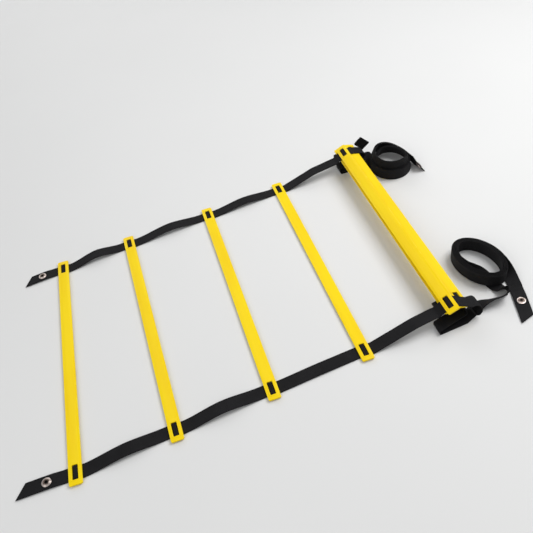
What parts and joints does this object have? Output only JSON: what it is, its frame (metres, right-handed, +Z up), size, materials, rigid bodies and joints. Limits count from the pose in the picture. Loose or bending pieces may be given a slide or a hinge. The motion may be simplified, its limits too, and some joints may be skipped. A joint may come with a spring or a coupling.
{
  "type": "agility ladder",
  "caption": "Flat training ladder with webbing side straps threaded through slatted rungs, half laid out and half folded, with snap-ended straps.",
  "frame": {"origin": "on the floor under the middle of the bounding box", "axes": "+X along the ladder from the laid-out end to the folded end, +Y along the rungs to the end away from the viewer, +Z up"},
  "size_m": [0.756, 0.4874, 0.0398],
  "materials": {
    "rung_yellow": "moulded golden yellow plastic, satin",
    "webbing_charcoal": "ribbed woven polypropylene webbing, near black",
    "stud_nickel": "nickel-plated pressed metal with turned rings"
  },
  "bodies": {
    "bundle": {"rung_5": "rung_yellow", "rung_6": "rung_yellow", "rung_7": "rung_yellow", "rung_8": "rung_yellow", "front_strap_bundle": "webbing_charcoal", "back_strap_bundle": "webbing_charcoal", "front_link": "webbing_charcoal", "back_link": "webbing_charcoal", "front_coil": "webbing_charcoal", "back_coil": "webbing_charcoal"},
    "section_4": {"front_strap_section_4": "webbing_charcoal", "back_strap_section_4": "webbing_charcoal"},
    "laid_rung_4": {"rung_4": "rung_yellow"},
    "section_3": {"front_strap_section_3": "webbing_charcoal", "back_strap_section_3": "webbing_charcoal"},
    "laid_rung_3": {"rung_3": "rung_yellow"},
    "section_2": {"front_strap_section_2": "webbing_charcoal", "back_strap_section_2": "webbing_charcoal"},
    "laid_rung_2": {"rung_2": "rung_yellow"},
    "section_1": {"front_strap_section_1": "webbing_charcoal", "back_strap_section_1": "webbing_charcoal"},
    "laid_rung_1": {"rung_1": "rung_yellow"},
    "front_left_end": {"front_tab": "webbing_charcoal", "front_left_stud_socket": "stud_nickel", "front_left_stud_cap": "stud_nickel"},
    "back_left_end": {"back_tab": "webbing_charcoal", "back_left_stud_socket": "stud_nickel", "back_left_stud_cap": "stud_nickel"},
    "front_right_end": {"front_tail": "webbing_charcoal", "front_right_stud_socket": "stud_nickel", "front_right_stud_cap": "stud_nickel"},
    "back_right_end": {"back_tail": "webbing_charcoal", "back_right_stud_socket": "stud_nickel", "back_right_stud_cap": "stud_nickel"}
  },
  "joints": [
    {"name": "fold_4", "type": "hinge", "parent": "bundle", "child": "section_4", "pos_m": [0.18301, 0.01284, 0.01685], "axis": [0, 1, 0.0038], "range_deg": [0, 80]},
    {"name": "fold_3", "type": "hinge", "parent": "section_4", "child": "section_3", "pos_m": [0.04505, 0.0029, 0.0031], "axis": [0, 0.9999, 0.0117], "range_deg": [-160, 0]},
    {"name": "fold_2", "type": "hinge", "parent": "section_3", "child": "section_2", "pos_m": [-0.0959, -0.0092, 0.00825], "axis": [0, 1, 0.0008], "range_deg": [0, 160]},
    {"name": "fold_1", "type": "hinge", "parent": "section_2", "child": "section_1", "pos_m": [-0.2312, -0.0221, 0.0063], "axis": [0, 1, 0.0066], "range_deg": [-160, 0]},
    {"name": "rung_1_slide", "type": "slide", "parent": "section_1", "child": "laid_rung_1", "axis": [0.9959, 0.0906, 0], "range_m": [0, 0.03], "deforming": ["front_strap_section_1", "back_strap_section_1"]},
    {"name": "rung_2_slide", "type": "slide", "parent": "section_2", "child": "laid_rung_2", "axis": [0.9959, 0.0906, 0], "range_m": [-0.03, 0.03], "deforming": ["front_strap_section_2", "back_strap_section_2"]},
    {"name": "rung_3_slide", "type": "slide", "parent": "section_3", "child": "laid_rung_3", "axis": [0.9959, 0.0906, 0], "range_m": [-0.03, 0.03], "deforming": ["front_strap_section_3", "back_strap_section_3"]},
    {"name": "rung_4_slide", "type": "slide", "parent": "section_4", "child": "laid_rung_4", "axis": [0.9959, 0.0906, 0], "range_m": [-0.03, 0.03], "deforming": ["front_strap_section_4", "back_strap_section_4"]},
    {"name": "front_left_end_lift", "type": "hinge", "parent": "section_1", "child": "front_left_end", "pos_m": [-0.31312, -0.22551, 0.0012], "axis": [0, 1, 0], "range_deg": [0, 120]},
    {"name": "back_left_end_lift", "type": "hinge", "parent": "section_1", "child": "back_left_end", "pos_m": [-0.30488, 0.16831, 0.0012], "axis": [0, 1, 0], "range_deg": [0, 120]},
    {"name": "front_right_end_lift", "type": "hinge", "parent": "bundle", "child": "front_right_end", "pos_m": [0.36314, -0.16579, 0.0012], "axis": [-0.9583, 0.2857, 0], "range_deg": [0, 120]},
    {"name": "back_right_end_swing", "type": "hinge", "parent": "bundle", "child": "back_right_end", "pos_m": [0.35865, 0.1641, 0.01], "axis": [0, 0, 1], "range_deg": [-40, 40]}
  ],
  "couplings": [
    {"joint": "fold_3", "follows": "fold_4", "ratio": -2},
    {"joint": "fold_2", "follows": "fold_4", "ratio": 2},
    {"joint": "fold_1", "follows": "fold_4", "ratio": -2}
  ]
}
